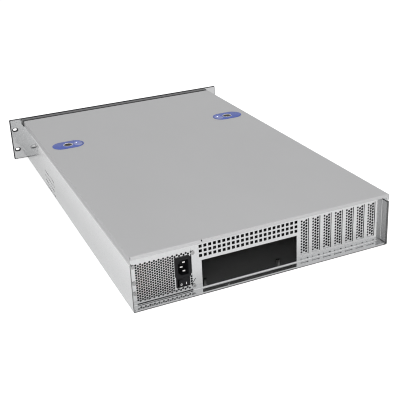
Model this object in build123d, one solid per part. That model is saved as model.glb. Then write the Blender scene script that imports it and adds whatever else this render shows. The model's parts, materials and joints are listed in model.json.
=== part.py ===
from build123d import *
import math
import os

# Empty rackmount server case, two rack units high, seen from the rear as in the photograph.
# Millimetres. X runs across the case, Y from the front (minus) to the rear (plus), Z up.
# The origin is on the floor under the middle of the folded case body.

# Case body
case_width = 430.0
case_height = 88.0
case_depth = 700.0
sheet = 1.2
bend = 0.8
wall_flange = 12.0
seat_gap = 0.2
step_rise = 1.5
step_drop = 0.5

# Lid
lid_sheet = 1.0
lid_side_drop = 11.0
lid_rear_drop = 8.0
lid_front_setback = 19.0
lid_fit = 0.3
corner_relief = 0.8
lid_notch_from_pillar = 4.0
lid_notch_width = 2.0
lid_notch_depth = 2.6

# Rear panel, a shallow tray that opens to the rear
recess = 13.7
panel_sheet = 1.0
panel_top = 77.0
panel_flange = 11.6
panel_fit = 0.2

# Board connector opening and the vents over it
io_from_supply = 8.8
io_width = 158.75
io_height = 44.45
io_bottom = 3.9
vent_size = 4.9
vent_pitch = 7.55
vent_columns = 22
vent_rows = 3
vent_inset = 1.2
vent_top_row = 71.2

# Power supply opening, with the slanted slit beside it
supply_opening_lap = 7.0
supply_opening_step = 6.6
supply_opening_top = 71.4
slit_length = 8.2
slit_width = 1.1
slit_angle = 51.5
slit_z = 18.6

# Expansion slots
slot_max = 7
slot_pitch = 20.32
slot_from_io = 14.05
slot_window_width = 14.4
slot_window_bottom = 13.2
slot_window_top = 73.0
slot_wall_room = 7.0
tongue_slit_width = 14.2
tongue_slit_height = 1.7
tongue_slit_z = 5.6

# Slot covers, folded strips behind the windows
cover_sheet = 0.9
cover_width = 14.6
cover_setback = 3.2
cover_joggle_z = 11.0
cover_joggle_rise = 2.4
cover_tongue_width = 9.4
cover_tongue_bottom = 3.0
cover_tongue_gap = 0.2
cover_shoulder_gap = 0.6
cover_tab = 10.4
cover_hole = 4.2
cover_hole_pitch = 9.2
cover_column_pitch = 4.4
cover_hole_rows = 6
slot_screw_depth = 6.4

# Power supply
psu_width = 100.0
psu_height = 69.0
psu_depth = 240.0
psu_bottom = 3.4
psu_wall_gap = 2.7
psu_sheet = 1.0
psu_fit = 0.25
mesh_hole = 4.0
mesh_pitch = 6.0
mesh_left_inset = 10.2
mesh_bottom = 8.6
mesh_columns = 16
mesh_rows = 11
mesh_margin = 1.9
psu_screw_heights_left = (64.7, 38.4, 22.0)
psu_screw_heights_right = (64.1, 10.2)
psu_screw_right_inset = 4.8
psu_screw_left_inset = 4.4

# Circuit board of the power supply
board_sheet = 1.6
psu_board_side = 5.0
psu_board_front = 10.0
psu_board_rear = 26.0
psu_board_rise = 5.0
psu_foot = 6.0
psu_foot_inset = 7.0
heat_sink_inset = 24.0
heat_sink_sheet = 3.0
heat_sink_height = 44.0
heat_sink_start = 20.0
heat_sink_end = 40.0
transformer_inset = 32.0
transformer_start = 60.0
transformer_length = 35.0
transformer_height = 34.0
capacitor_radius = 11.0
capacitor_height = 38.0
capacitor_inset = 14.0
capacitor_pitch = 25.0

# Power inlet in the power supply's rear face
inlet_from_right = 20.8
inlet_z = 44.5
inlet_width = 24.0
inlet_height = 32.5
inlet_corner = 2.0
inlet_rim = 2.4
inlet_rim_side = 1.5
inlet_rim_end = 3.5
inlet_depth = 18.0
inlet_fit = 0.2
socket_width = 16.5
socket_height = 24.0
socket_depth = 16.0
socket_key = 4.6
pin_long = 4.0
pin_thick = 2.0
pin_spacing = 14.0
pin_stagger = 2.0
pin_tip = 3.0

# Power switch under the inlet
switch_from_right = 21.3
switch_z = 19.9
switch_width = 21.0
switch_height = 14.6
switch_rim = 1.6
switch_rim_lap = 1.0
switch_depth = 11.0
switch_fit = 0.2
rocker_width = 16.0
rocker_height = 10.8
rocker_gap = 0.7
rocker_side_gap = 0.4
rocker_angle = 8.0
rocker_pin = 1.2
rocker_pin_reach = 1.0
rocker_pivot_depth = 1.5
rocker_wing = 1.2
rocker_valley = 0.9
rocker_root = 3.4
rocker_taper = 0.72
pivot_end_gap = 0.2

# Fans
fan_size = 80.0
fan_depth = 25.0
fan_count = 3
fan_pitch = 92.0
fan_side_gap = 19.8
fan_lift = 1.6
fan_wall_y = -6.0
fan_wall_flange = 14.0
psu_fan_size = 60.0
psu_fan_depth = 20.0
fan_duct_share = 0.95
fan_window_share = 0.94
fan_hub_share = 0.4
fan_plate = 2.4
fan_arm = 3.0
fan_tube_wall = 2.0
fan_tube_share = 0.55
fan_shaft = 1.5
running_gap = 0.08
tip_gap = 1.2
rotor_start = 3.4
rotor_end_gap = 1.0
rotor_wall = 2.0
blade_count = 7
blade_sheet = 1.4
blade_pitch_angle = 38.0
cable_window_width = 72.0
cable_window_height = 50.0
cable_window_rise = 36.0
round_sides = 12

# Front: dark frame behind, dark panel in front, metal rack ears between them
strip_depth = 12.0
strip_drop = 10.0
front_room = 3.0
front_thickness = 3.0
front_overhang = 0.9
front_height = 88.4
front_corner = 2.0
rack_width = 482.6
ear_sheet = 2.0
ear_inset = 0.8
ear_gap = 0.4
ear_corner = 1.2
ear_lap = 20.0
rack_hole_inset = 8.75
rack_hole_rise = 44.45
rack_slot_length = 10.0
rack_slot_width = 6.8
grille_slots = 12
grille_pitch = 15.0
grille_slot_width = 6.5
grille_slot_height = 46.0
grille_left = -30.0
front_window_rise = 4.0

# Front buttons and the small board behind them
button_size = 9.0
button_from_wall = 35.0
button_rise = 16.0
button_travel = 1.0
button_gap = 0.3
button_proud = 1.6
button_hole_room = 3.0
collar_lap = 1.0
collar_sheet = 0.8
switch_board_gap = 6.0
switch_board_width = 28.0
switch_board_height = 40.0
switch_body = 6.0
switch_body_depth = 3.5
board_post = 4.0
board_post_x = 10.0
board_post_z = 16.0

# Drive cage
cage_width = 240.0
cage_depth = 148.0
cage_height = 52.0
cage_foot = 12.0
cage_window_width = 168.0
cage_window_depth = 88.0

# Lid latches
latch_x = 170.0
latch_from_front = 213.5
latch_length = 61.0
latch_width = 39.0
latch_rise = 0.7
latch_cup_inset = 2.2
latch_cup_depth = 10.0
latch_wall = 1.6
ring_radius = 9.4
ring_width = 1.6
ring_height = 3.0
ring_sides = 16
latch_button_radius = 7.2
latch_button_drop = 0.6
latch_dish_depth = 0.8
latch_dish_rim = 1.6
latch_travel = 3.0
latch_gap = 0.4
scoop_wall = 0.6
scoop_share = 0.62
scoop_corner = 4.0
scoop_depth = 6.0
spring_sheet = 0.5
spring_half = 6.0
spring_foot = 1.4
spring_crown = 2.0
spring_width = 4.0
spring_room = 0.6

# Motherboard standoffs
standoff_height = 6.35
standoff_radius = 3.2
standoff_bore = 1.6
standoff_inset = 8.5
standoff_rear_gap = 12.0
standoff_wall_room = 4.0
standoff_columns = (0.0, 124.46, 281.94)
standoff_rows = (0.0, 154.94, 227.33)

# Side vents in the left wall, low behind the front ear
side_vent = 3.6
side_vent_pitch = 9.6
side_vent_columns = 8
side_vent_rows = 4
side_vent_start = 186.0
side_vent_bottom = 5.5

# Fasteners
screw_radius = 1.6
screw_length = 4.0
screw_head = 3.0
screw_head_height = 1.5
screw_clearance = 0.15

# How far a cutter runs past the metal, and the small gap kept at cut edges
past = 1.0
edge_gap = 0.4

# Places worked out from the sizes above
rear_y = case_depth / 2
front_y = -case_depth / 2
half_width = case_width / 2
inner_half = half_width - sheet
panel_y = rear_y - recess
panel_inner_y = panel_y - panel_sheet
panel_shelf = panel_top + panel_sheet
lid_front_y = front_y + lid_front_setback
lid_under = case_height - lid_sheet
lid_drop_z = case_height - lid_side_drop
wall_step_x = half_width - lid_sheet - lid_fit
wall_step_z = lid_drop_z - step_drop
step_bottom = wall_step_z - step_rise - sheet
wall_top = lid_under - seat_gap
psu_left = inner_half - psu_wall_gap
psu_right = psu_left - psu_width
psu_middle = (psu_left + psu_right) / 2
psu_face_y = panel_inner_y
psu_front_y = psu_face_y - psu_depth
psu_top = psu_bottom + psu_height
supply_opening_left = psu_left - supply_opening_lap
supply_opening_right = psu_right + supply_opening_step
inlet_x = psu_right + inlet_from_right
switch_x = psu_right + switch_from_right
mesh_left = psu_left - mesh_left_inset
mesh_column_pitch = mesh_pitch * math.sqrt(3) / 2
io_left = psu_right - io_from_supply
io_right = io_left - io_width
first_slot = io_right - slot_from_io
slot_room = inner_half - slot_wall_room - slot_window_width / 2 + first_slot
slot_count = min(slot_max, int(slot_room // slot_pitch) + 1)
first_fan = -inner_half + fan_side_gap + fan_size / 2
fan_middle_z = sheet + fan_lift + fan_size / 2
ear_bottom = ear_inset
ear_top = case_height - ear_gap
rack_hole_span = rack_width - 2 * rack_hole_inset
panel_back_y = front_y - ear_sheet
button_x = button_from_wall - half_width
switch_board_y = front_y + sheet + switch_board_gap
cage_left = -cage_width / 2
cage_front_y = front_y + sheet + strip_depth + front_room
latch_y = front_y + latch_from_front
latch_top = case_height + latch_rise
latch_floor = case_height - latch_cup_depth + latch_wall
rocker_y = psu_face_y - rocker_pivot_depth
equal_area = math.sqrt(math.pi / 2)


def block(x0, x1, y0, y1, z0, z1):
    """A box between two corners."""
    middle = ((x0 + x1) / 2, (y0 + y1) / 2, (z0 + z1) / 2)
    return Pos(*middle) * Box(abs(x1 - x0), abs(y1 - y0), abs(z1 - z0))


def along_x(outline, x0, x1):
    """An outline drawn in Y and Z, carried from x0 to x1."""
    return extrude(Plane.YZ.offset(x0) * outline, x1 - x0)


def along_y(outline, y0, y1):
    """An outline drawn in X and Z, carried from y0 to y1."""
    plane = Plane(origin=(0, y1, 0), x_dir=(1, 0, 0), z_dir=(0, -1, 0))
    return extrude(plane * outline, y1 - y0)


def along_z(outline, z0, z1):
    """An outline drawn in X and Y, carried from z0 to z1."""
    return extrude(Plane.XY.offset(z0) * outline, z1 - z0)


def between(low, high, middle, width):
    """A rectangle of one width, standing between two heights."""
    return Pos(middle, (low + high) / 2) * Rectangle(width, high - low)


def left_of(start, end):
    """The unit vector square to a run, on its left."""
    length = math.dist(start, end)
    return (-(end[1] - start[1]) / length, (end[0] - start[0]) / length)


def parallel(path, distance):
    """The path moved to its left, with its corners mitred."""
    moved = []
    for i, point in enumerate(path):
        before = left_of(path[max(i - 1, 0)], path[max(i, 1)])
        after = left_of(path[min(i, len(path) - 2)], path[min(i + 1, len(path) - 1)])
        share = distance / (1 + before[0] * after[0] + before[1] * after[1])
        moved.append((point[0] + share * (before[0] + after[0]),
                      point[1] + share * (before[1] + after[1])))
    return moved


def folded(path, thickness, rounded=()):
    """Section of a folded sheet whose metal lies left of the path, round at the listed bends."""
    inner = parallel(path, thickness)
    face = make_face(Polyline(*path, *reversed(inner), close=True)).face()
    for i in rounded:
        before = left_of(path[i - 1], path[i])
        run = (path[i + 1][0] - path[i][0], path[i + 1][1] - path[i][1])
        turns_left = before[0] * run[0] + before[1] * run[1] > 0
        radii = (bend + thickness, bend) if turns_left else (bend, bend + thickness)
        for corner, radius in zip((path[i], inner[i]), radii):
            vertex = face.vertices().sort_by_distance((*corner, 0))[0]
            face = face.fillet_2d(radius, [vertex])
    return Sketch() + face


def small_hole(diameter):
    """A punched hole's outline, drawn four-sided with the round hole's area."""
    return RegularPolygon(diameter * equal_area / 2, 4)


def screw():
    """A pan-head screw, head up, its seat at the origin."""
    head = along_z(RegularPolygon(screw_head, 8), 0, screw_head_height)
    shank = along_z(RegularPolygon(screw_radius, 6), -screw_length, 0)
    return head + shank


def screw_hole():
    """The outline of the hole that a screw passes."""
    return RegularPolygon(screw_radius + screw_clearance, 6)


def slot_centres():
    """The middle of each expansion slot, from the inlet side; as many as fit beside the wall."""
    return [first_slot - i * slot_pitch for i in range(slot_count)]


def psu_screw_places():
    """Where the rear panel's screws enter the power supply."""
    left = psu_left - psu_screw_left_inset
    right = psu_right + psu_screw_right_inset
    return [(left, z) for z in psu_screw_heights_left] + [(right, z) for z in psu_screw_heights_right]


def side_vent_holes():
    """Cutters for the vent field in one side wall."""
    places = [(front_y + side_vent_start + i * side_vent_pitch, side_vent_bottom + j * side_vent_pitch)
              for i in range(side_vent_columns) for j in range(side_vent_rows)]
    outlines = [Pos(y, z) * small_hole(side_vent) for y, z in places]
    return along_x(Sketch() + outlines, inner_half - past, half_width + past)


def chassis_pan():
    """Floor and both side walls, folded from one sheet; the walls step in under the lid."""
    right = [(wall_step_x - wall_flange, wall_top), (wall_step_x, wall_top),
             (wall_step_x, wall_step_z), (half_width, wall_step_z - step_rise), (half_width, 0)]
    path = [(-x, z) for x, z in right] + [(x, z) for x, z in reversed(right)]
    pan = along_y(folded(path, sheet, rounded=(1, 4, 5, 8)), front_y, rear_y)
    flange_reach = wall_step_x - sheet
    flange_depth = sheet + bend + past
    pan -= block(-flange_reach, flange_reach, panel_inner_y, rear_y + past,
                 wall_top - flange_depth, wall_top + past)
    lid_reach = rear_y - lid_sheet - lid_fit
    pan -= block(-case_width, case_width, lid_reach, rear_y + past, lid_drop_z - edge_gap, case_height)
    front_reach = front_y + strip_depth + front_room
    pan -= block(-case_width, case_width, front_y - past, front_reach,
                 step_bottom - past, wall_top + past)
    return pan - side_vent_holes()


def vent_outlines():
    """The square vents over the connector opening."""
    first = io_left + vent_inset
    return [Pos(first - i * vent_pitch, vent_top_row - j * vent_pitch) * Rectangle(vent_size, vent_size)
            for i in range(vent_columns) for j in range(vent_rows)]


def rear_openings():
    """The outlines cut through the rear panel, in X and Z."""
    cuts = vent_outlines()
    cuts.append(between(io_bottom, io_bottom + io_height, io_left - io_width / 2, io_width))
    supply_bottom = sheet + panel_sheet + panel_fit
    supply_width = supply_opening_left - supply_opening_right
    supply_middle = (supply_opening_left + supply_opening_right) / 2
    cuts.append(between(supply_bottom, supply_opening_top, supply_middle, supply_width))
    slit_reach = slit_length * math.cos(math.radians(slit_angle)) / 2
    cuts.append(Pos(supply_opening_right - slit_reach, slit_z) * Rot(0, 0, 180 - slit_angle)
                * Rectangle(slit_length, slit_width))
    for x in slot_centres():
        cuts.append(between(slot_window_bottom, slot_window_top, x, slot_window_width))
        cuts.append(Pos(x, tongue_slit_z) * Rectangle(tongue_slit_width, tongue_slit_height))
    return Sketch() + cuts + [Pos(x, z) * screw_hole() for x, z in psu_screw_places()]


def rear_panel():
    """Recessed rear panel: a plate with four flanges folded to the rear."""
    half = inner_half - panel_fit
    low = sheet
    high = panel_shelf
    outer = block(-half, half, panel_inner_y, panel_y + panel_flange, low, high)
    outer = fillet(outer.edges().group_by(Axis.Y)[0], bend + panel_sheet)
    inner = block(-half + panel_sheet, half - panel_sheet, panel_y, rear_y + past,
                  low + panel_sheet, high - panel_sheet)
    inner = fillet(inner.edges().group_by(Axis.Y)[0], bend)
    tray = outer - inner
    relief = bend + panel_sheet + edge_gap
    for side in (-1, 1):
        for z0, z1 in ((low - past, low + relief), (step_bottom, high + past)):
            tray -= block(side * (half - relief), side * (half + past),
                          panel_inner_y - past, rear_y + past, z0, z1)
    tray -= along_y(rear_openings(), panel_inner_y - past, panel_y + past)
    shelf_holes = [Pos(x, panel_y + slot_screw_depth) * screw_hole() for x in slot_centres()]
    return tray - along_z(Sketch() + shelf_holes, panel_top - past, high + past)


def lid():
    """Top cover: one sheet with side flanges, a rear flange and openings for the two latches."""
    section = [(half_width, lid_drop_z), (half_width, case_height),
               (-half_width, case_height), (-half_width, lid_drop_z)]
    cover = along_y(folded(section, lid_sheet, rounded=(1, 2)), lid_front_y, rear_y)
    corner = bend + lid_sheet + edge_gap
    rear = [(rear_y, case_height - lid_rear_drop), (rear_y, case_height),
            (rear_y - 2 * corner, case_height)]
    reach = half_width - corner
    cover -= block(-reach, reach, rear_y - corner, rear_y + past, 0, case_height + past)
    cover += along_x(folded(rear, lid_sheet, rounded=(1,)), -reach, reach)
    hole = SlotOverall(latch_length - 2 * latch_cup_inset, latch_width - 2 * latch_cup_inset)
    for side in (-1, 1):
        cover -= block(side * reach, side * (reach + corner_relief), rear_y - corner, rear_y + past,
                       0, case_height + past)
        cover -= block(side * reach, side * (half_width + past), rear_y - lid_sheet, rear_y + past,
                       0, case_height + past)
        cover -= Pos(side * latch_x, latch_y, 0) * along_z(hole, lid_under - past, case_height + past)
    notch = io_left + lid_notch_from_pillar
    return cover - block(notch - lid_notch_width / 2, notch + lid_notch_width / 2,
                         rear_y - lid_notch_depth, rear_y + past,
                         case_height - lid_notch_depth, case_height + past)


def latch_housing(side):
    """Pill-shaped moulded latch: rim on the lid, cup below, ring seat and one finger recess."""
    cup_inset = latch_cup_inset + latch_gap
    cup = SlotOverall(latch_length - 2 * cup_inset, latch_width - 2 * cup_inset)
    cup_bottom = case_height - latch_cup_depth
    body = along_z(SlotOverall(latch_length, latch_width), case_height, latch_top)
    body += along_z(cup, cup_bottom, case_height)
    hollow_x = latch_length - 2 * (cup_inset + latch_wall)
    hollow_y = latch_width - 2 * (cup_inset + latch_wall)
    body -= along_z(RegularPolygon(ring_radius + latch_gap / 2, ring_sides), latch_floor, latch_top + past)
    start = ring_radius + latch_wall + scoop_wall
    length = hollow_x / 2 - start
    scoop = Pos(-side * (start + length / 2), 0) * RectangleRounded(
        length, hollow_y * scoop_share, scoop_corner)
    return body - along_z(scoop, latch_top - scoop_depth, latch_top + past)


def latch_ring():
    """Bright ring pressed into the latch housing round its button."""
    ring = RegularPolygon(ring_radius, ring_sides) - RegularPolygon(ring_radius - ring_width, ring_sides)
    return along_z(ring, latch_top - ring_height, latch_top)


def latch_button():
    """Push button with a dished top, sliding down inside the ring."""
    top_z = latch_top - latch_button_drop
    bottom_z = latch_floor + latch_travel + spring_sheet + spring_room
    cap = along_z(RegularPolygon(latch_button_radius, ring_sides), bottom_z, top_z)
    dish = RegularPolygon(latch_button_radius - latch_dish_rim, ring_sides)
    return cap - along_z(dish, top_z - latch_dish_depth, top_z + past)


def latch_spring():
    """Bowed leaf spring between the cup's floor and the button."""
    crown = latch_floor + latch_travel + spring_room
    rise = spring_half - spring_foot
    path = [(-spring_half, latch_floor), (-rise, latch_floor), (-spring_crown, crown),
            (spring_crown, crown), (rise, latch_floor), (spring_half, latch_floor)]
    return along_x(folded(path, spring_sheet), -spring_width / 2, spring_width / 2)


def cover_holes():
    """Three staggered columns of holes, centred on the slot window."""
    middle = (slot_window_bottom + slot_window_top) / 2
    holes = []
    for column in (-1, 0, 1):
        rows = cover_hole_rows - (column == 0)
        for j in range(rows):
            z = middle + (j - (rows - 1) / 2) * cover_hole_pitch
            holes.append(Pos(column * cover_column_pitch, z) * small_hole(cover_hole))
    return Sketch() + holes


def slot_cover(x):
    """One perforated slot cover: tab on the shelf, strip behind the window, tongue below."""
    back = panel_y - cover_setback - cover_sheet
    tongue = panel_inner_y - cover_sheet - cover_tongue_gap
    over_shelf = panel_shelf + cover_sheet
    path = [(panel_y + cover_tab, over_shelf), (back, over_shelf), (back, cover_joggle_z),
            (tongue, cover_joggle_z - cover_joggle_rise), (tongue, cover_tongue_bottom)]
    strip = along_x(folded(path, cover_sheet), x - cover_width / 2, x + cover_width / 2)
    for side in (-1, 1):
        strip -= block(x + side * cover_tongue_width / 2, x + side * cover_width,
                       back - past, rear_y, 0, cover_joggle_z - cover_shoulder_gap)
    notch = Pos(x, panel_y + slot_screw_depth) * screw_hole()
    mouth_width = (screw_radius + screw_clearance) * math.sqrt(3)
    mouth = Pos(x + cover_width / 2, panel_y + slot_screw_depth) * Rectangle(cover_width, mouth_width)
    strip -= along_z(notch + mouth, panel_shelf - past, over_shelf + past)
    return strip - along_y(Pos(x, 0) * cover_holes(), back - past, back + cover_sheet + past)


def mesh_holes():
    """The staggered holes of the power supply's face, left out round the inlet and the switch."""
    keep_out = [(inlet_x, inlet_z, inlet_width, inlet_height),
                (switch_x, switch_z, switch_width, switch_height)]
    keep_out += [(x, z, 2 * screw_head, 2 * screw_head) for x, z in psu_screw_places()]
    holes = []
    for i in range(mesh_columns):
        x = mesh_left - i * mesh_column_pitch
        for j in range(mesh_rows - i % 2):
            z = mesh_bottom + (j + (i % 2) / 2) * mesh_pitch
            if all(abs(x - cx) > w / 2 + mesh_margin or abs(z - cz) > h / 2 + mesh_margin
                   for cx, cz, w, h in keep_out):
                holes.append(Pos(x, z) * small_hole(mesh_hole))
    return Sketch() + holes


def psu_base():
    """Power supply base: floor, perforated rear face and front face folded from one sheet."""
    x0 = psu_right + psu_sheet + psu_fit
    x1 = psu_left - psu_sheet - psu_fit
    top = psu_top - psu_sheet - psu_fit
    path = [(psu_front_y, top), (psu_front_y, psu_bottom), (psu_face_y, psu_bottom), (psu_face_y, top)]
    base = along_x(folded(path, psu_sheet, rounded=(1, 2)), x0, x1)
    face = mesh_holes() + Pos(inlet_x, inlet_z) * Rectangle(
        inlet_width - 2 * (inlet_rim_side - inlet_fit), inlet_height - 2 * (inlet_rim_end - inlet_fit))
    face += Pos(switch_x, switch_z) * Rectangle(
        switch_width - 2 * (switch_rim_lap - switch_fit), switch_height - 2 * (switch_rim_lap - switch_fit))
    face += [Pos(x, z) * screw_hole() for x, z in psu_screw_places()]
    base -= along_y(face, psu_face_y - psu_sheet - past, psu_face_y + past)
    fan_hole = RegularPolygon(psu_fan_size * fan_window_share / 2, round_sides)
    fan_hole = Pos(psu_middle, psu_bottom + psu_height / 2) * fan_hole
    return base - along_y(fan_hole, psu_front_y - past, psu_front_y + psu_sheet + past)


def psu_cover():
    """Power supply cover: top and both sides folded from one sheet."""
    path = [(psu_left, psu_bottom), (psu_left, psu_top), (psu_right, psu_top), (psu_right, psu_bottom)]
    return along_y(folded(path, psu_sheet), psu_front_y, psu_face_y)


def psu_board():
    """Circuit board of the power supply with its heat sinks, transformer and capacitors."""
    x0 = psu_right + psu_board_side
    x1 = psu_left - psu_board_side
    y0 = psu_front_y + psu_fan_depth + psu_board_front
    y1 = psu_face_y - psu_board_rear
    under = psu_bottom + psu_sheet + psu_board_rise
    top = under + board_sheet
    board = block(x0, x1, y0, y1, under, top)
    for x in (x0 + psu_foot_inset, x1 - psu_foot_inset):
        for y in (y0 + psu_foot_inset, y1 - psu_foot_inset):
            board += block(x - psu_foot / 2, x + psu_foot / 2, y - psu_foot / 2, y + psu_foot / 2,
                           psu_bottom + psu_sheet, under)
    for x in (x0 + heat_sink_inset, x1 - heat_sink_inset):
        board += block(x - heat_sink_sheet / 2, x + heat_sink_sheet / 2, y0 + heat_sink_start,
                       y1 - heat_sink_end, top, top + heat_sink_height)
    board += block(x0 + transformer_inset, x1 - transformer_inset, y0 + transformer_start,
                   y0 + transformer_start + transformer_length, top, top + transformer_height)
    for i in range(2):
        y = y1 - capacitor_inset - i * capacitor_pitch
        can = Pos(psu_middle, y) * RegularPolygon(capacitor_radius, round_sides)
        board += along_z(can, top, top + capacitor_height)
    return board


def inlet_body():
    """Moulded power inlet: rim outside the face, body behind it and a keyed socket."""
    rim_y = psu_face_y + inlet_rim
    rim = RectangleRounded(inlet_width, inlet_height, inlet_corner)
    core = Rectangle(inlet_width - 2 * inlet_rim_side, inlet_height - 2 * inlet_rim_end)
    body = along_y(Pos(inlet_x, inlet_z) * rim, psu_face_y, rim_y)
    body += along_y(Pos(inlet_x, inlet_z) * core, psu_face_y - inlet_depth, psu_face_y)
    half_w = socket_width / 2
    half_h = socket_height / 2
    socket = Polyline((-half_w, -half_h), (half_w - socket_key, -half_h),
                      (half_w, socket_key - half_h), (half_w, half_h - socket_key),
                      (half_w - socket_key, half_h), (-half_w, half_h), close=True)
    return body - along_y(Pos(inlet_x, inlet_z) * make_face(socket), rim_y - socket_depth, rim_y + past)


def inlet_pins():
    """The three flat pins standing on the socket's floor, the earth pin set off from the others."""
    rim_y = psu_face_y + inlet_rim
    pins = []
    for dx, dz in ((-pin_stagger, -pin_spacing / 2), (-pin_stagger, pin_spacing / 2), (pin_stagger, 0)):
        outline = Pos(inlet_x + dx, inlet_z + dz) * Rectangle(pin_long, pin_thick)
        pins.append(along_y(outline, rim_y - socket_depth, rim_y - pin_tip))
    return Compound(pins)


def switch_frame():
    """Frame of the power switch, with pivot holes above and below the rocker."""
    rim_y = psu_face_y + switch_rim
    middle = Pos(switch_x, switch_z)
    core = Rectangle(switch_width - 2 * switch_rim_lap, switch_height - 2 * switch_rim_lap)
    opening = Rectangle(rocker_width + 2 * rocker_gap, rocker_height + 2 * rocker_side_gap)
    frame = along_y(middle * Rectangle(switch_width, switch_height), psu_face_y, rim_y)
    frame += along_y(middle * core, psu_face_y - switch_depth, psu_face_y)
    frame -= along_y(middle * opening, rim_y - switch_depth, rim_y + past)
    pivot = RegularPolygon(rocker_pin + running_gap, 8, major_radius=False)
    reach = rocker_height / 2 + rocker_pin_reach + pivot_end_gap
    return frame - along_z(Pos(switch_x, rocker_y) * pivot, switch_z - reach, switch_z + reach)


def switch_rocker():
    """Two-winged rocker with its pivot pins, tipped to one side."""
    half = rocker_width / 2
    rim = switch_rim + rocker_pivot_depth
    root = half * rocker_taper
    path = [(-half, rim + rocker_wing), (0, rim - rocker_valley), (half, rim + rocker_wing),
            (root, -rocker_root), (-root, -rocker_root)]
    body = along_z(make_face(Polyline(*path, close=True)), -rocker_height / 2, rocker_height / 2)
    reach = rocker_height / 2 + rocker_pin_reach
    body += along_z(RegularPolygon(rocker_pin, 8), -reach, reach)
    return Pos(switch_x, rocker_y, switch_z) * Rot(0, 0, rocker_angle) * body


def fan_frame(size, depth):
    """Square fan frame with a round duct, hub plate, four arms and a bearing tube; axis along Y."""
    duct = size * fan_duct_share / 2
    frame = along_y(Rectangle(size, size) - RegularPolygon(duct, round_sides), 0, depth)
    arms = Rectangle(2 * duct, fan_arm) + Rectangle(fan_arm, 2 * duct)
    hub = RegularPolygon(size * fan_hub_share / 2, round_sides)
    middle = along_y(hub + Rot(0, 0, 45) * arms, 0, fan_plate)
    middle += along_y(RegularPolygon(fan_shaft + fan_tube_wall, 8), 0, depth * fan_tube_share)
    bore = RegularPolygon(fan_shaft + running_gap, 8, major_radius=False)
    return frame + (middle - along_y(bore, -past, depth))


def fan_rotor(size, depth):
    """Fan hub with its shaft and pitched blades; axis along Y."""
    hub = size * fan_hub_share / 2
    tip = size * fan_duct_share / 2 * math.cos(math.pi / round_sides) - tip_gap
    end = depth - rotor_end_gap
    rotor = along_y(RegularPolygon(hub, round_sides), rotor_start, end)
    rotor -= along_y(RegularPolygon(hub - rotor_wall, round_sides), rotor_start - past, end - rotor_wall)
    rotor += along_y(RegularPolygon(fan_shaft, 8), edge_gap, end - past)
    chord = end - rotor_start
    blade = block(hub - past, tip, -chord / 2, chord / 2, -blade_sheet / 2, blade_sheet / 2)
    blade = Pos(0, rotor_start + chord / 2, 0) * Rot(blade_pitch_angle, 0, 0) * blade
    for i in range(blade_count):
        rotor += Rot(0, i * 360 / blade_count, 0) * blade
    return rotor


def fan_places():
    """Middle of each case fan in X and Z."""
    return [(first_fan + i * fan_pitch, fan_middle_z) for i in range(fan_count)]


def fan_bracket():
    """Folded fan wall between the side walls, with a window for each fan and one for cables."""
    half = inner_half - bend
    top = wall_top - sheet - past
    front = fan_wall_y - fan_wall_flange
    path = [(front, sheet), (fan_wall_y, sheet), (fan_wall_y, top), (front, top)]
    wall = along_x(folded(path, sheet), -half, half)
    step = wall_step_x - sheet - panel_fit
    for side in (-1, 1):
        wall -= block(side * step, side * (half + past), front - past, fan_wall_y + past,
                      step_bottom, case_height)
    window = RegularPolygon(fan_size * fan_window_share / 2, round_sides)
    cuts = [Pos(x, z) * window for x, z in fan_places()]
    cuts.append(Pos(psu_middle, sheet + cable_window_rise)
                * Rectangle(cable_window_width, cable_window_height))
    return wall - along_y(Sketch() + cuts, fan_wall_y - sheet - past, fan_wall_y + past)


def drive_cage():
    """Folded drive cage on the case floor, open to the front and rear."""
    x0 = cage_left
    x1 = cage_left + cage_width
    top = sheet + cage_height
    path = [(x0 - cage_foot, sheet), (x0, sheet), (x0, top),
            (x1, top), (x1, sheet), (x1 + cage_foot, sheet)]
    cage = along_y(folded(path, sheet), cage_front_y, cage_front_y + cage_depth)
    middle = Pos((x0 + x1) / 2, cage_front_y + cage_depth / 2)
    window = middle * Rectangle(cage_window_width, cage_window_depth)
    return cage - along_z(window, top - past, top + sheet + past)


def front_frame():
    """Dark front wall of the case: plate with a top strip folded back and down, and end cheeks."""
    half = half_width - panel_fit
    back = front_y + strip_depth
    under_strip = case_height - strip_drop
    path = [(back, under_strip), (back, case_height), (front_y, case_height), (front_y, sheet)]
    frame = along_x(folded(path, sheet, rounded=(1, 2)), -half, half)
    for side in (-1, 1):
        frame += block(side * (half - sheet), side * half, front_y + sheet, back - sheet,
                       under_strip, case_height - sheet)
        frame -= block(side * (inner_half - bend), side * (half + past), front_y - past,
                       back + past, 0, under_strip - past)
    low = sheet + front_window_rise
    cuts = between(low, low + cage_height, cage_left + cage_width / 2, cage_width)
    hole = button_size + button_hole_room
    cuts += [Pos(x, z) * Rectangle(hole, hole) for x, z in button_places()]
    return frame - along_y(cuts, front_y - past, front_y + sheet + past)


def button_places():
    """Middle of the power and reset buttons in X and Z."""
    middle = case_height / 2
    return [(button_x, middle + button_rise / 2), (button_x, middle - button_rise / 2)]


def front_panel():
    """Dark front panel as wide as the ears, with a plain grille, rack slots and button holes."""
    width = rack_width + 2 * front_overhang
    plate = Pos(0, front_height / 2) * RectangleRounded(width, front_height, front_corner)
    slots = [Pos(grille_left + i * grille_pitch, case_height / 2)
             * Rectangle(grille_slot_width, grille_slot_height) for i in range(grille_slots)]
    slots += rack_slots(-1) + rack_slots(1)
    slots += [Pos(x, z) * Rectangle(button_size, button_size) for x, z in button_places()]
    return along_y(plate - (Sketch() + slots), panel_back_y - front_thickness, panel_back_y)


def rack_slots(side):
    """The two rack screw slots of one ear, in X and Z."""
    return [Pos(side * rack_hole_span / 2, case_height / 2 + end * rack_hole_rise / 2)
            * SlotOverall(rack_slot_length, rack_slot_width) for end in (-1, 1)]


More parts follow.
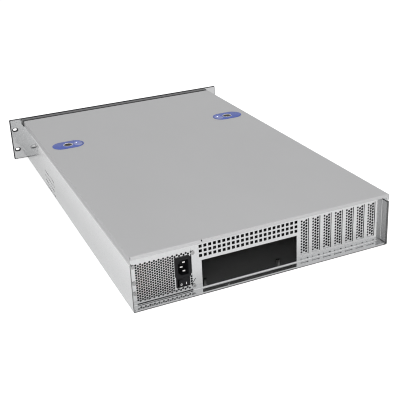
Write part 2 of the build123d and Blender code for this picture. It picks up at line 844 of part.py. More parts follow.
def ear(side):
    """Rack ear: a flat plate in the front plane, lapped over the front wall."""
    inner_x = half_width - ear_lap
    outer_x = rack_width / 2
    plate = Pos((outer_x + inner_x) / 2, (ear_bottom + ear_top) / 2) * RectangleRounded(
        outer_x - inner_x, ear_top - ear_bottom, ear_corner)
    front = along_y(plate - (Sketch() + rack_slots(1)), panel_back_y, front_y)
    return front if side > 0 else mirror(front, Plane.YZ)


def switch_board():
    """Small board behind the front wall that carries the two button switches."""
    z = case_height / 2
    half = switch_board_width / 2
    tall = switch_board_height / 2
    body = switch_body / 2
    board = block(button_x - half, button_x + half, switch_board_y, switch_board_y + board_sheet,
                  z - tall, z + tall)
    for bx, bz in button_places():
        board += block(bx - body, bx + body, switch_board_y - switch_body_depth, switch_board_y,
                       bz - body, bz + body)
    post = board_post / 2
    x = button_x - board_post_x
    for dz in (-board_post_z, board_post_z):
        board += block(x - post, x + post, front_y + sheet, switch_board_y, z + dz - post, z + dz + post)
    return board


def front_button(place):
    """Square push button with a retaining collar behind the front panel."""
    x, z = place
    face_y = panel_back_y - front_thickness - button_proud
    back_y = switch_board_y - switch_body_depth - button_travel - button_gap
    half = button_size / 2 - button_gap
    collar = button_size / 2 + collar_lap
    collar_y = panel_back_y + button_gap
    stem = block(x - half, x + half, face_y, back_y, z - half, z + half)
    return stem + block(x - collar, x + collar, collar_y, collar_y + collar_sheet, z - collar, z + collar)


def standoffs():
    """Hexagonal standoffs for the board, on the case floor, in the columns that fit between the walls."""
    first_x = io_left - standoff_inset
    first_y = panel_inner_y - standoff_rear_gap
    post = along_z(RegularPolygon(standoff_radius, 6), sheet, sheet + standoff_height)
    post -= along_z(Circle(standoff_bore), 2 * sheet, sheet + standoff_height + past)
    columns = [dx for dx in standoff_columns if first_x - dx > standoff_wall_room - inner_half]
    return Compound([Pos(first_x - dx, first_y - dy, 0) * post for dx in columns for dy in standoff_rows])


def save(name, shape):
    """Write one node."""
    export_step(shape, "parts/" + name + ".step")


def save_body():
    save("chassis_pan", chassis_pan())
    save("rear_panel", rear_panel())
    save("lid", lid())
    save("front_frame", front_frame())
    save("front_panel", front_panel())
    save("drive_cage", drive_cage())
    save("standoffs", standoffs())
    for name, side in (("left", 1), ("right", -1)):
        save("ear_" + name, ear(side))


def save_latches():
    for name, side in (("left", 1), ("right", -1)):
        place = Pos(side * latch_x, latch_y, 0)
        save("latch_housing_" + name, place * latch_housing(side))
        save("latch_ring_" + name, place * latch_ring())
        save("latch_button_" + name, place * latch_button())
        save("latch_spring_" + name, place * latch_spring())


def save_slots():
    for i, x in enumerate(slot_centres()):
        save(f"slot_cover_{i + 1}", slot_cover(x))
    seat = panel_shelf + cover_sheet
    seats = [Pos(x, panel_y + slot_screw_depth, seat) for x in slot_centres()]
    save("slot_screws", Compound([place * screw() for place in seats]))


def save_power():
    save("psu_base", psu_base())
    save("psu_cover", psu_cover())
    save("psu_board", psu_board())
    save("inlet_body", inlet_body())
    save("inlet_pins", inlet_pins())
    save("switch_frame", switch_frame())
    save("switch_rocker", switch_rocker())
    turn = Rot(-90, 0, 0)
    save("psu_screws", Compound([Pos(x, panel_y, z) * turn * screw() for x, z in psu_screw_places()]))
    place = Pos(psu_middle, psu_front_y + psu_sheet, psu_bottom + psu_height / 2)
    save("psu_fan_frame", place * fan_frame(psu_fan_size, psu_fan_depth))
    save("psu_fan_rotor", place * fan_rotor(psu_fan_size, psu_fan_depth))


def save_fans():
    save("fan_bracket", fan_bracket())
    for i, (x, z) in enumerate(fan_places()):
        place = Pos(x, fan_wall_y, z)
        save(f"fan_frame_{i + 1}", place * fan_frame(fan_size, fan_depth))
        save(f"fan_rotor_{i + 1}", place * fan_rotor(fan_size, fan_depth))


def save_buttons():
    save("switch_board", switch_board())
    for name, place in zip(("power_button", "reset_button"), button_places()):
        save(name, front_button(place))


os.makedirs("parts", exist_ok=True)
save_body()
save_latches()
save_slots()
save_power()
save_fans()
save_buttons()
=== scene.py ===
import json
import math

import bmesh
import bpy
from mathutils import Matrix, Vector


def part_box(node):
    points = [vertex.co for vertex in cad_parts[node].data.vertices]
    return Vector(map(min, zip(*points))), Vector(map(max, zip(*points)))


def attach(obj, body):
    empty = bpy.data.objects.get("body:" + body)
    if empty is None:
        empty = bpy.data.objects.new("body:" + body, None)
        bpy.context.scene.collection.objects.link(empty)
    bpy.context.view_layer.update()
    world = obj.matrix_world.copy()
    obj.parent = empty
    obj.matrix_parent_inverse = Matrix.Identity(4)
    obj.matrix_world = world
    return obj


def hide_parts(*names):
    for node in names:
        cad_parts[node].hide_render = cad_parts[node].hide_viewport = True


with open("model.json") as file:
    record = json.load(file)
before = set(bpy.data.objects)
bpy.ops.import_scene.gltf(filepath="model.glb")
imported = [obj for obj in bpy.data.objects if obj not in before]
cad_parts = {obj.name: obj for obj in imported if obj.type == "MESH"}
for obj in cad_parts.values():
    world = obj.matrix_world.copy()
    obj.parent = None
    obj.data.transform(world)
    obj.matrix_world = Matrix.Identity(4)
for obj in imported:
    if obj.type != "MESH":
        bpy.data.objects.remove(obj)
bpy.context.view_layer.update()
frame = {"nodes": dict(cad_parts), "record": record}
MM = 0.001

# Camera, read from the photograph: its turn, its place in metres and its lens
CAMERA_AZIMUTH = 157.458
CAMERA_ELEVATION = 21.949
CAMERA_ROLL = -2.949
CAMERA_PLACE = (0.4789, 1.2330, 0.5842)
CAMERA_LENS = 68.60
SENSOR_WIDTH = 36.0
SHIFT_ACROSS = 0.015
SHIFT_DOWN = 0.08

# Colours of the finishes, as linear values
ZINC = (0.66, 0.665, 0.67)
LID_GREY = (0.385, 0.385, 0.39)
STRIP_GREY = (0.018, 0.018, 0.02)
PANEL_BLACK = (0.018, 0.018, 0.02)
LATCH_BLUE = (0.055, 0.09, 0.34)
SOCKET_BLACK = (0.006, 0.006, 0.007)
FAN_BLACK = (0.02, 0.02, 0.021)
BUTTON_GREY = (0.16, 0.16, 0.165)
NICKEL = (0.80, 0.78, 0.77)
BUTTON_BRONZE = (0.03, 0.025, 0.018)
SPRING_GREY = (0.5, 0.5, 0.5)
# The standoffs' plated metal, made darker than such plating is, as painted shade for the inside of the
# case
STANDOFF_METAL_SHADED = (0.15, 0.15, 0.145)
BOARD_GREEN = (0.011, 0.024, 0.016)
SCREW_ZINC = (0.45, 0.45, 0.45)
# Tone of bare cut steel, also used as the painted shade on the side walls' inner faces
CUT_EDGE_AND_SHADE_TONE = (0.16, 0.16, 0.16)
MARK_WHITE = (0.55, 0.55, 0.55)

# Galvanised sheet: gloss from smooth to rough, change of tone, and its two patterns' scales per metre
ZINC_METAL = 0.95
ZINC_GLOSS = (0.09, 0.16)
COVER_GLOSS = (0.14, 0.22)
ZINC_SPANGLE = 0.05
COVER_SPANGLE = 0.04
CRYSTALS = 160.0
ROLLING_LINES = 900.0

# Where the sheet's bare rear edge starts, where its side walls' inner faces stand, and how much painted
# shade darkens those inner faces
CUT_EDGE = 0.3499
PAN_WALL_INSIDE = 0.2138
TRAY_WALL_INSIDE = 0.2126
WALL_REACH = 0.0003
PAN_WALL_PAINTED_SHADE = 0.9
TRAY_WALL_PAINTED_SHADE = 0.5

# Studio: strength of the white seen and mirrored, the lamps' places in metres, sizes and watts
FLOOR_SIZE = 40.0
FLOOR_DROP = 0.8 * MM
FLOOR_WHITE = 0.9
FLOOR_SEEN = 0.5
FLOOR_MIRRORED = 0.05
AIR_LIGHT = 0.5
AIR_SEEN = 1.0
LAMP_REAR = ((1.2, 2.5, 1.0), (0.0, 0.2, 0.0), 2.0, 82.0)
LAMP_TOP = ((-0.6, -0.6, 2.6), (0.0, 0.0, 0.0), 0.8, 16.0)
PIXEL_FILTER = 1.1

# Power supply face, with its openings and the places of its screws, in metres
SUPPLY_SHEET = 1.0 * MM
MESH_PITCH = 4.0 * MM
MESH_HOLE = 1.7 * MM
MESH_EDGE = 4.2 * MM
SUPPLY_SCREW_LEFT = 206.7 * MM
SUPPLY_SCREW_RIGHT = 115.9 * MM
SUPPLY_SCREWS_LEFT = (64.7 * MM, 38.4 * MM, 22.0 * MM)
SUPPLY_SCREWS_RIGHT = (64.1 * MM, 10.2 * MM)
INLET_RIM = (1.3 * MM, 3.3 * MM)
SWITCH_RIM = (0.8 * MM, 0.8 * MM)
SUPPLY_FOOT = 1.4 * MM
SUPPLY_SLITS = (
    ((117.9 * MM, 31.0 * MM), (119.3 * MM, 62.0 * MM)),
    ((112.9 * MM, 15.2 * MM), (117.6 * MM, 22.0 * MM)),
)
MESH_KEEP_OFF = 0.3 * MM
MESH_SCREW_MARGIN = 4.5 * MM
SUPPLY_FAN_WINDOW = 0.47

# Screws
SCREW_SHANK = 1.6 * MM
SCREW_HOLE = 1.75 * MM
SCREW_CLEARANCE = 0.15 * MM
SCREW_HEAD = 3.0 * MM
SCREW_HEAD_RISE = 1.5 * MM
SCREW_EDGE = 0.4 * MM
SCREW_COLLAR = 0.45 * MM
SCREW_LENGTH = 4.0 * MM
CROSS_LONG = 1.7 * MM
CROSS_SHORT = 0.4 * MM
CROSS_DEPTH = 0.8 * MM
COLLAR_RADIUS = 2.1 * MM

# Power switch's rocker and its marks
ROCKER_PIVOT = 3.1 * MM
ROCKER_VALLEY = 2.2 * MM
ROCKER_TIP = math.radians(8.0)
ROCKER_SLOPE = math.atan(2.1 / 8.0)
ROCKER_MARK = 4.2 * MM
MARK_DEPTH = 0.3 * MM
MARK_DROP = 2.4 * MM
BAR_HALF_WIDTH = 0.45 * MM
MARK_RADIUS = 1.8 * MM
RING_HOLE = 1.1 * MM

# Rivets on the tray's lower flange
LEDGE_RIVETS = (184.9 * MM, 64.1 * MM)
LEDGE_RIVET_Y = 343.8 * MM
RIVET_HEAD = 1.9 * MM
RIVET_THICKNESS = 0.8 * MM
RIVET_RISE = 0.3 * MM
RIVET_EDGE = 0.3 * MM
TRAY_SHEET = 1.0 * MM

# Slot covers
SLOT_COUNT = 7
WINDOW_LOW = 13.2 * MM
WINDOW_HIGH = 73.0 * MM
COVER_SHEET = 0.9 * MM
COVER_BACK = 334.2 * MM
COVER_SIDE_GAP = 0.8 * MM
COVER_SHOULDER = 10.4 * MM
COVER_TONGUE = 9.4 * MM
COVER_ROWS = 12
COVER_PITCH = 4.8 * MM
COVER_COLUMN = 4.15 * MM
COVER_COLUMNS_ASIDE = 0.6 * MM
COVER_HOLES = (2.0 * MM, 2.0 * MM, 1.7 * MM)

# The tray's shelf and the lid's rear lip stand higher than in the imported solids. The other four
# lengths pick out the points of each that are lifted.
SHELF_RISE = 6.4 * MM
SHELF_REACH = 3.0 * MM
LIP_RISE = 3.0 * MM
LIP_DEPTH = 6.0 * MM
LIP_SHEET = 1.1 * MM
LIP_SIDE = 1.5 * MM

# Rack ears, seen against the dark panel behind them
EAR_INSET = 0.9 * MM
EAR_SLOT_STRETCH = 1.3
PANEL_SLOT_STRETCH = 0.82
RACK_SLOT_INSET = 8.75 * MM
RACK_SLOT_RISE = 44.45 * MM
RACK_SLOT_REACH = 6.0 * MM
EAR_EDGE = 2.0 * MM
CASE_MIDDLE = 44.0 * MM

# Latches
LATCH_CUP_INSET = 2.6 * MM
LATCH_WALL = 1.6 * MM
RING_WIDTH = 1.1 * MM
CAP_CLEARANCE = 0.2 * MM
SCOOP_FROM_MIDDLE = 19.2 * MM
SCOOP_SIZE = (9.2 * MM, 12.6 * MM, 4.6 * MM)
SCOOP_FACES = 1.05
SCOOP_RIM = 0.1 * MM
SEAT_CLEARANCE = 0.1 * MM
CUP_OVERLAP = 0.2 * MM
LATCH_EDGE = 0.35 * MM
RING_EDGE = 0.45 * MM
CAP_EDGE = 0.3 * MM
DISH_SHARE = 0.8
DISH_DEPTH = 1.1 * MM


def new_finish(name, colour, metallic, roughness, specular=0.5):
    """A principled material with its plain values set on the shader's own sockets."""
    finish = bpy.data.materials.new(name)
    finish.use_nodes = True
    shader = finish.node_tree.nodes["Principled BSDF"]
    shader.inputs["Base Color"].default_value = (*colour, 1.0)
    shader.inputs["Metallic"].default_value = metallic
    shader.inputs["Roughness"].default_value = roughness
    shader.inputs["Specular IOR Level"].default_value = specular
    return finish


def add_node(finish, kind, **values):
    """A node of the finish, with its properties and named inputs set."""
    node = finish.node_tree.nodes.new(kind)
    for name, value in values.items():
        if hasattr(node, name):
            setattr(node, name, value)
        else:
            node.inputs[name.replace("_", " ")].default_value = value
    return node


def join(finish, start, end):
    finish.node_tree.links.new(start, end)


def object_places(finish, scale=(1.0, 1.0, 1.0)):
    """Object coordinates, stretched by a scale on each axis."""
    places = add_node(finish, "ShaderNodeTexCoord")
    stretch = add_node(finish, "ShaderNodeMapping")
    stretch.inputs["Scale"].default_value = scale
    join(finish, places.outputs["Object"], stretch.inputs["Vector"])
    return stretch.outputs["Vector"]


def ramp_between(finish, source, low, high):
    """A value carried from nought to one onto the span from low to high."""
    span = add_node(finish, "ShaderNodeMapRange")
    span.inputs["To Min"].default_value = low
    span.inputs["To Max"].default_value = high
    join(finish, source, span.inputs["Value"])
    return span.outputs["Result"]


def tint_between(finish, source, dark, light):
    """A colour between two tints, chosen by a value."""
    mix = add_node(finish, "ShaderNodeMix", data_type="RGBA")
    mix.inputs["A"].default_value = (*dark, 1.0)
    mix.inputs["B"].default_value = (*light, 1.0)
    join(finish, source, mix.inputs["Factor"])
    return mix.outputs["Result"]


def grain(finish, scale, detail, stretch=(1.0, 1.0, 1.0)):
    """A noise value on object coordinates; the scale is per metre."""
    noise = add_node(finish, "ShaderNodeTexNoise")
    noise.inputs["Scale"].default_value = scale
    noise.inputs["Detail"].default_value = detail
    join(finish, object_places(finish, stretch), noise.inputs["Vector"])
    return noise.outputs["Fac"]


def raise_surface(finish, height, distance, strength):
    """A fine relief from a height value; the distance is in metres."""
    bump = add_node(finish, "ShaderNodeBump")
    bump.inputs["Distance"].default_value = distance
    bump.inputs["Strength"].default_value = strength
    join(finish, height, bump.inputs["Height"])
    join(finish, bump.outputs["Normal"], finish.node_tree.nodes["Principled BSDF"].inputs["Normal"])


def shaded(colour, share):
    return tuple(c * share for c in colour)


def zinc_finish(name, gloss, spangle):
    """Zinc-coated sheet: faint crystal patches, fine rolling lines and uneven gloss."""
    finish = new_finish(name, ZINC, ZINC_METAL, gloss[1])
    shader = finish.node_tree.nodes["Principled BSDF"]
    crystals = add_node(finish, "ShaderNodeTexVoronoi", feature="SMOOTH_F1")
    crystals.inputs["Scale"].default_value = CRYSTALS
    crystals.inputs["Smoothness"].default_value = 0.6
    join(finish, object_places(finish), crystals.inputs["Vector"])
    lines = grain(finish, ROLLING_LINES, 3.0, stretch=(1.0, 0.06, 1.0))
    both = add_node(finish, "ShaderNodeMath", operation="MULTIPLY_ADD")
    both.inputs[1].default_value = 0.5
    join(finish, crystals.outputs["Distance"], both.inputs[0])
    join(finish, ramp_between(finish, lines, 0.0, 0.5), both.inputs[2])
    tint = tint_between(finish, both.outputs["Value"],
                        shaded(ZINC, 1.0 - spangle), shaded(ZINC, 1.0 + spangle))
    join(finish, tint, shader.inputs["Base Color"])
    join(finish, ramp_between(finish, grain(finish, 60.0, 4.0), *gloss), shader.inputs["Roughness"])
    raise_surface(finish, lines, 0.00002, 0.15)
    return finish


def bare_edges_and_painted_wall_shade(finish, wall_inside, share):
    """Darkens the sheet's bare rear edges, and paints shade on its side walls' inner faces, darkening
    them toward the cut-edge tone by a share.
    """
    shader = finish.node_tree.nodes["Principled BSDF"]
    sheet = shader.inputs["Base Color"].links[0].from_socket
    axes = add_node(finish, "ShaderNodeSeparateXYZ")
    join(finish, object_places(finish), axes.inputs["Vector"])
    edge = add_node(finish, "ShaderNodeMath", operation="GREATER_THAN")
    edge.inputs[1].default_value = CUT_EDGE
    join(finish, axes.outputs["Y"], edge.inputs[0])
    across = add_node(finish, "ShaderNodeMath", operation="ABSOLUTE")
    join(finish, axes.outputs["X"], across.inputs[0])
    inner = add_node(finish, "ShaderNodeMath", operation="COMPARE")
    inner.inputs[1].default_value = wall_inside
    inner.inputs[2].default_value = WALL_REACH
    join(finish, across.outputs["Value"], inner.inputs[0])
    # Painted shade: the side walls' inner faces are darkened toward the cut-edge tone
    painted_wall_shade = add_node(finish, "ShaderNodeMath", operation="MULTIPLY")
    painted_wall_shade.inputs[1].default_value = share
    join(finish, inner.outputs["Value"], painted_wall_shade.inputs[0])
    both = add_node(finish, "ShaderNodeMath", operation="MAXIMUM")
    join(finish, edge.outputs["Value"], both.inputs[0])
    join(finish, painted_wall_shade.outputs["Value"], both.inputs[1])
    tint = tint_between(finish, both.outputs["Value"], ZINC, CUT_EDGE_AND_SHADE_TONE)
    join(finish, sheet, tint.node.inputs["A"])
    join(finish, tint, shader.inputs["Base Color"])
    return finish


def paint_finish(name, colour, smooth, rough, relief, metallic=0.0):
    """Powder-coated sheet: a fine even grain with a slight drift of tone."""
    finish = new_finish(name, colour, metallic, rough)
    shader = finish.node_tree.nodes["Principled BSDF"]
    speck = grain(finish, 2600.0, 2.0)
    drift = grain(finish, 9.0, 3.0, stretch=(1.0, 0.5, 1.0))
    both = add_node(finish, "ShaderNodeMath", operation="MULTIPLY_ADD")
    both.inputs[1].default_value = 0.5
    join(finish, speck, both.inputs[0])
    join(finish, ramp_between(finish, drift, 0.0, 0.5), both.inputs[2])
    tint = tint_between(finish, both.outputs["Value"], shaded(colour, 0.93), shaded(colour, 1.07))
    join(finish, tint, shader.inputs["Base Color"])
    join(finish, ramp_between(finish, speck, smooth, rough), shader.inputs["Roughness"])
    raise_surface(finish, speck, relief, 0.3)
    return finish


def plastic_finish(name, colour, smooth, rough, relief, coat=0.0, specular=0.3):
    """Moulded plastic: slightly uneven gloss over a fine spark-eroded grain."""
    finish = new_finish(name, colour, 0.0, rough, specular)
    shader = finish.node_tree.nodes["Principled BSDF"]
    shader.inputs["Coat Weight"].default_value = coat
    speck = grain(finish, 1800.0, 2.0)
    tint = tint_between(finish, grain(finish, 70.0, 3.0), shaded(colour, 0.9), shaded(colour, 1.1))
    join(finish, tint, shader.inputs["Base Color"])
    join(finish, ramp_between(finish, speck, smooth, rough), shader.inputs["Roughness"])
    raise_surface(finish, speck, relief, 0.3)
    return finish


def plated_finish(name, colour, smooth, rough):
    """Plated or turned metal with fine uneven gloss."""
    finish = new_finish(name, colour, 1.0, rough)
    shader = finish.node_tree.nodes["Principled BSDF"]
    patch = grain(finish, 500.0, 3.0)
    tint = tint_between(finish, patch, shaded(colour, 0.9), shaded(colour, 1.05))
    join(finish, tint, shader.inputs["Base Color"])
    join(finish, ramp_between(finish, patch, smooth, rough), shader.inputs["Roughness"])
    return finish


FINISHES = {
    "galvanised_steel": zinc_finish("zinc_sheet", ZINC_GLOSS, ZINC_SPANGLE),
    "cover_steel": zinc_finish("zinc_cover", COVER_GLOSS, COVER_SPANGLE),
    "lid_steel": paint_finish("lid_paint", LID_GREY, 0.42, 0.55, 0.00003, metallic=0.2),
    "dark_steel": paint_finish("strip_paint", STRIP_GREY, 0.3, 0.42, 0.00003),
    "dark_panel": paint_finish("front_paint", PANEL_BLACK, 0.45, 0.6, 0.00004),
    "blue_plastic": plastic_finish("latch_plastic", LATCH_BLUE, 0.4, 0.5, 0.00001),
    "dark_plastic": plastic_finish("socket_plastic", SOCKET_BLACK, 0.45, 0.6, 0.00002, specular=0.2),
    "fan_plastic": plastic_finish("fan_plastic", FAN_BLACK, 0.35, 0.5, 0.00002),
    "button_plastic": plastic_finish("button_plastic", BUTTON_GREY, 0.35, 0.5, 0.00002),
    "bright_metal": plated_finish("nickel_plate", NICKEL, 0.12, 0.25),
    "spring_steel": plated_finish("spring_strip", SPRING_GREY, 0.25, 0.4),
    # The standoffs' finish is darkened as painted shade for the inside of the case
    "brass": plated_finish("standoff_plate_shaded", STANDOFF_METAL_SHADED, 0.3, 0.45),
    "board": plastic_finish("circuit_board", BOARD_GREEN, 0.25, 0.4, 0.00001, coat=0.3),
}

# Finishes of single pieces
LATCH_CAP = plated_finish("latch_cap_bronze", BUTTON_BRONZE, 0.25, 0.4)
SCREW_HEADS = plated_finish("screw_zinc", SCREW_ZINC, 0.22, 0.35)
# The pan's and tray's finishes carry painted shade on their side walls' inner faces
PAN_ZINC_PAINTED_SHADE = bare_edges_and_painted_wall_shade(zinc_finish("zinc_pan_painted_shade", ZINC_GLOSS, ZINC_SPANGLE),
                          PAN_WALL_INSIDE, PAN_WALL_PAINTED_SHADE)
TRAY_ZINC_PAINTED_SHADE = bare_edges_and_painted_wall_shade(zinc_finish("zinc_tray_painted_shade", ZINC_GLOSS, ZINC_SPANGLE),
                           TRAY_WALL_INSIDE, TRAY_WALL_PAINTED_SHADE)
SWITCH_MARK = plastic_finish("switch_mark", MARK_WHITE, 0.4, 0.5, 0.00001)
SCOOP_POLISH = plastic_finish("latch_scoop", LATCH_BLUE, 0.18, 0.24, 0.000002, coat=1.0)
SCOOP_COAT = SCOOP_POLISH.node_tree.nodes["Principled BSDF"]
SCOOP_COAT.inputs["Coat IOR"].default_value = 2.2
SCOOP_COAT.inputs["Coat Roughness"].default_value = 0.15

# Turns that lay a new cylinder along an axis
ALONG = {"X": (0.0, math.pi / 2, 0.0), "Y": (math.pi / 2, 0.0, 0.0), "Z": (0.0, 0.0, 0.0)}


def hold(piece):
    """Leaves only this piece selected, and active."""
    bpy.ops.object.select_all(action="DESELECT")
    piece.select_set(True)
    bpy.context.view_layer.objects.active = piece


def settle(piece, name):
    """Puts the piece's place, turn and size into its mesh, and names it."""
    hold(piece)
    bpy.ops.object.transform_apply(location=True, rotation=True, scale=True)
    piece.name = name
    piece.data.name = name
    return piece


def new_rod(place, radius, length, axis="Z", sides=32):
    """A round bar with its middle at a place."""
    bpy.ops.object.select_all(action="DESELECT")
    bpy.ops.mesh.primitive_cylinder_add(vertices=sides, radius=radius, depth=length,
                                        location=place, rotation=ALONG[axis])
    return settle(bpy.context.object, "rod")


def new_block(low, high):
    """A block between two corners."""
    bpy.ops.object.select_all(action="DESELECT")
    bpy.ops.mesh.primitive_cube_add(size=1.0, location=(Vector(low) + Vector(high)) / 2)
    block = bpy.context.object
    block.scale = Vector(high) - Vector(low)
    return settle(block, "block")


def reshape(piece, kind, **settings):
    """Adds one modifier to the piece and applies it."""
    hold(piece)
    tool = piece.modifiers.new(kind.title(), kind)
    for name, value in settings.items():
        setattr(tool, name, value)
    bpy.ops.object.modifier_apply(modifier=tool.name)


def cut_away(piece, *cutters):
    """Takes each cutter's room out of the piece."""
    for cutter in cutters:
        reshape(piece, "BOOLEAN", operation="DIFFERENCE", object=cutter, solver="EXACT")
        bpy.data.objects.remove(cutter)


def weld_on(piece, *others):
    """Makes one solid of the piece and the others."""
    for other in others:
        reshape(piece, "BOOLEAN", operation="UNION", object=other, solver="EXACT")
        bpy.data.objects.remove(other)


def ease_edges(piece, width, segments=2, angle=30.0):
    reshape(piece, "BEVEL", width=width, segments=segments, limit_method="ANGLE",
            angle_limit=math.radians(angle))


def smooth(piece, angle=35.0):
    hold(piece)
    bpy.ops.object.shade_smooth_by_angle(angle=math.radians(angle))


def copy_of(piece, name, shift):
    """A second piece of the same form, moved by a shift."""
    hold(piece)
    bpy.ops.object.duplicate(linked=False)
    bpy.ops.transform.translate(value=shift)
    return settle(bpy.context.object, name)


def gather(pieces, name):
    """Makes one piece of several loose ones."""
    hold(pieces[0])
    for piece in pieces[1:]:
        piece.select_set(True)
    bpy.ops.object.join()
    return settle(bpy.context.object, name)


def finish_piece(piece, slot, body, *nodes, finish=None):
    """Gives the piece its slot's finish and its body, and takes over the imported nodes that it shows."""
    piece.data.materials.clear()
    piece.data.materials.append(finish or FINISHES[slot])
    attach(piece, body)
    if nodes:
        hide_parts(*nodes)


def pick_points(piece, wanted):
    """In edit mode, selects only the points whose place passes a test."""
    bpy.ops.mesh.select_all(action="DESELECT")
    form = bmesh.from_edit_mesh(piece.data)
    for point in form.verts:
        point.select = wanted(point.co)
    form.select_flush(True)
    bmesh.update_edit_mesh(piece.data)


def own_form(node, name):
    """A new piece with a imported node's form, its loose triangles merged, to be worked further."""
    piece = bpy.data.objects.new(name, frame["nodes"][node].data.copy())
    piece.data.name = name
    bpy.context.scene.collection.objects.link(piece)
    hold(piece)
    bpy.ops.object.mode_set(mode="EDIT")
    bpy.ops.mesh.select_all(action="SELECT")
    bpy.ops.mesh.remove_doubles(threshold=0.005 * MM)
    bpy.ops.object.mode_set(mode="OBJECT")
    return piece


def move_points(piece, wanted, shift):
    """Moves the points whose place passes a test."""
    hold(piece)
    bpy.ops.object.mode_set(mode="EDIT")
    pick_points(piece, wanted)
    bpy.ops.transform.translate(value=shift)
    bpy.ops.object.mode_set(mode="OBJECT")


def new_strip(path, low_x, high_x, thickness):
    """A folded sheet along points in Y and Z, with its metal on the left of the path."""
    points = [Vector(point) for point in path]
    run = points[1] - points[0]
    middle = (points[0] + points[1]) / 2
    bpy.ops.object.select_all(action="DESELECT")
    bpy.ops.mesh.primitive_plane_add(size=1.0, location=((low_x + high_x) / 2, middle.x, middle.y),
                                     rotation=(math.atan2(run.y, run.x), 0.0, 0.0))
    strip = bpy.context.object
    strip.scale = (high_x - low_x, run.length, 1.0)
    settle(strip, "strip")
    bpy.ops.object.mode_set(mode="EDIT")
    pick_points(strip, lambda place: (Vector(place.yz) - points[1]).length < thickness / 4)
    for start, end in zip(points[1:], points[2:]):
        bpy.ops.mesh.extrude_region_move(TRANSFORM_OT_translate={"value": (0.0, *(end - start))})
    bpy.ops.object.mode_set(mode="OBJECT")
    reshape(strip, "SOLIDIFY", thickness=thickness, offset=1.0, use_even_offset=True)
    return strip


def punch(piece, places, radius, low_y, high_y, sides=12):
    """Cuts round holes along Y through the piece, at places in X and Z."""
    middle = (low_y + high_y) / 2
    first = new_rod((places[0][0], middle, places[0][1]), radius, high_y - low_y, "Y", sides)
    bpy.ops.object.mode_set(mode="EDIT")
    for x, z in places[1:]:
        bpy.ops.mesh.primitive_cylinder_add(vertices=sides, radius=radius, depth=high_y - low_y,
                                            location=(x, middle, z), rotation=ALONG["Y"])
    bpy.ops.object.mode_set(mode="OBJECT")
    cut_away(piece, first)


def dress_frame():
    """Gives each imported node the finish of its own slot."""
    for part in frame["record"]["subparts"]:
        node = frame["nodes"][part["node"]]
        for place in node.material_slots:
            place.material = FINISHES[part["material_slot"]]
    # The pan gets the finish with painted shade on its side walls' inner faces
    frame["nodes"]["chassis_pan"].material_slots[0].material = PAN_ZINC_PAINTED_SHADE


def lay_floor():
    """A plain white floor that keeps a soft shadow and shows white to the eye."""
    bpy.ops.object.select_all(action="DESELECT")
    bpy.ops.mesh.primitive_plane_add(size=FLOOR_SIZE, location=(0.0, 0.0, -FLOOR_DROP))
    floor = bpy.context.object
    floor.name = "studio_floor"
    finish = new_finish("studio_white", (FLOOR_WHITE,) * 3, 0.0, 1.0, 0.0)
    shader = finish.node_tree.nodes["Principled BSDF"]
    path = add_node(finish, "ShaderNodeLightPath")
    mirrored = add_node(finish, "ShaderNodeMath", operation="MULTIPLY")
    mirrored.inputs[1].default_value = FLOOR_MIRRORED
    join(finish, path.outputs["Is Glossy Ray"], mirrored.inputs[0])
    glow = add_node(finish, "ShaderNodeMath", operation="MULTIPLY_ADD")
    glow.inputs[1].default_value = FLOOR_SEEN
    join(finish, path.outputs["Is Camera Ray"], glow.inputs[0])
    join(finish, mirrored.outputs["Value"], glow.inputs[2])
    shader.inputs["Emission Color"].default_value = (1.0, 1.0, 1.0, 1.0)
    join(finish, glow.outputs["Value"], shader.inputs["Emission Strength"])
    floor.data.materials.append(finish)


def light_world():
    """White to the eye and in reflections, softer as a source of light."""
    world = bpy.data.worlds.new("studio_air")
    bpy.context.scene.world = world
    world.use_nodes = True
    nodes = world.node_tree.nodes
    links = world.node_tree.links
    air = nodes["Background"]
    air.inputs["Color"].default_value = (1.0, 1.0, 1.0, 1.0)
    path = nodes.new("ShaderNodeLightPath")
    seen = nodes.new("ShaderNodeMath")
    seen.operation = "MAXIMUM"
    links.new(path.outputs["Is Camera Ray"], seen.inputs[0])
    links.new(path.outputs["Is Glossy Ray"], seen.inputs[1])
    seen_all = nodes.new("ShaderNodeMath")
    seen_all.operation = "MAXIMUM"
    links.new(seen.outputs["Value"], seen_all.inputs[0])
    links.new(path.outputs["Is Transmission Ray"], seen_all.inputs[1])
    strength = nodes.new("ShaderNodeMapRange")
    strength.inputs["To Min"].default_value = AIR_LIGHT
    strength.inputs["To Max"].default_value = AIR_SEEN
    links.new(seen_all.outputs["Value"], strength.inputs["Value"])
    links.new(strength.outputs["Result"], air.inputs["Strength"])


def hang_lamp(name, place, aim, size, power, mirrored):
    """A square soft lamp that lights but isn't seen itself, nor in bright metal unless mirrored."""
    lamp = bpy.data.lights.new(name, "AREA")
    lamp.shape = "SQUARE"
    lamp.size = size
    lamp.energy = power
    holder = bpy.data.objects.new(name, lamp)
    bpy.context.scene.collection.objects.link(holder)
    holder.location = place
    holder.rotation_mode = "QUATERNION"
    holder.rotation_quaternion = (Vector(aim) - Vector(place)).to_track_quat("-Z", "Y")
    holder.visible_camera = False
    holder.visible_glossy = mirrored


def light_studio():
    hang_lamp("lamp_rear", *LAMP_REAR, False)
    hang_lamp("lamp_top", *LAMP_TOP, True)


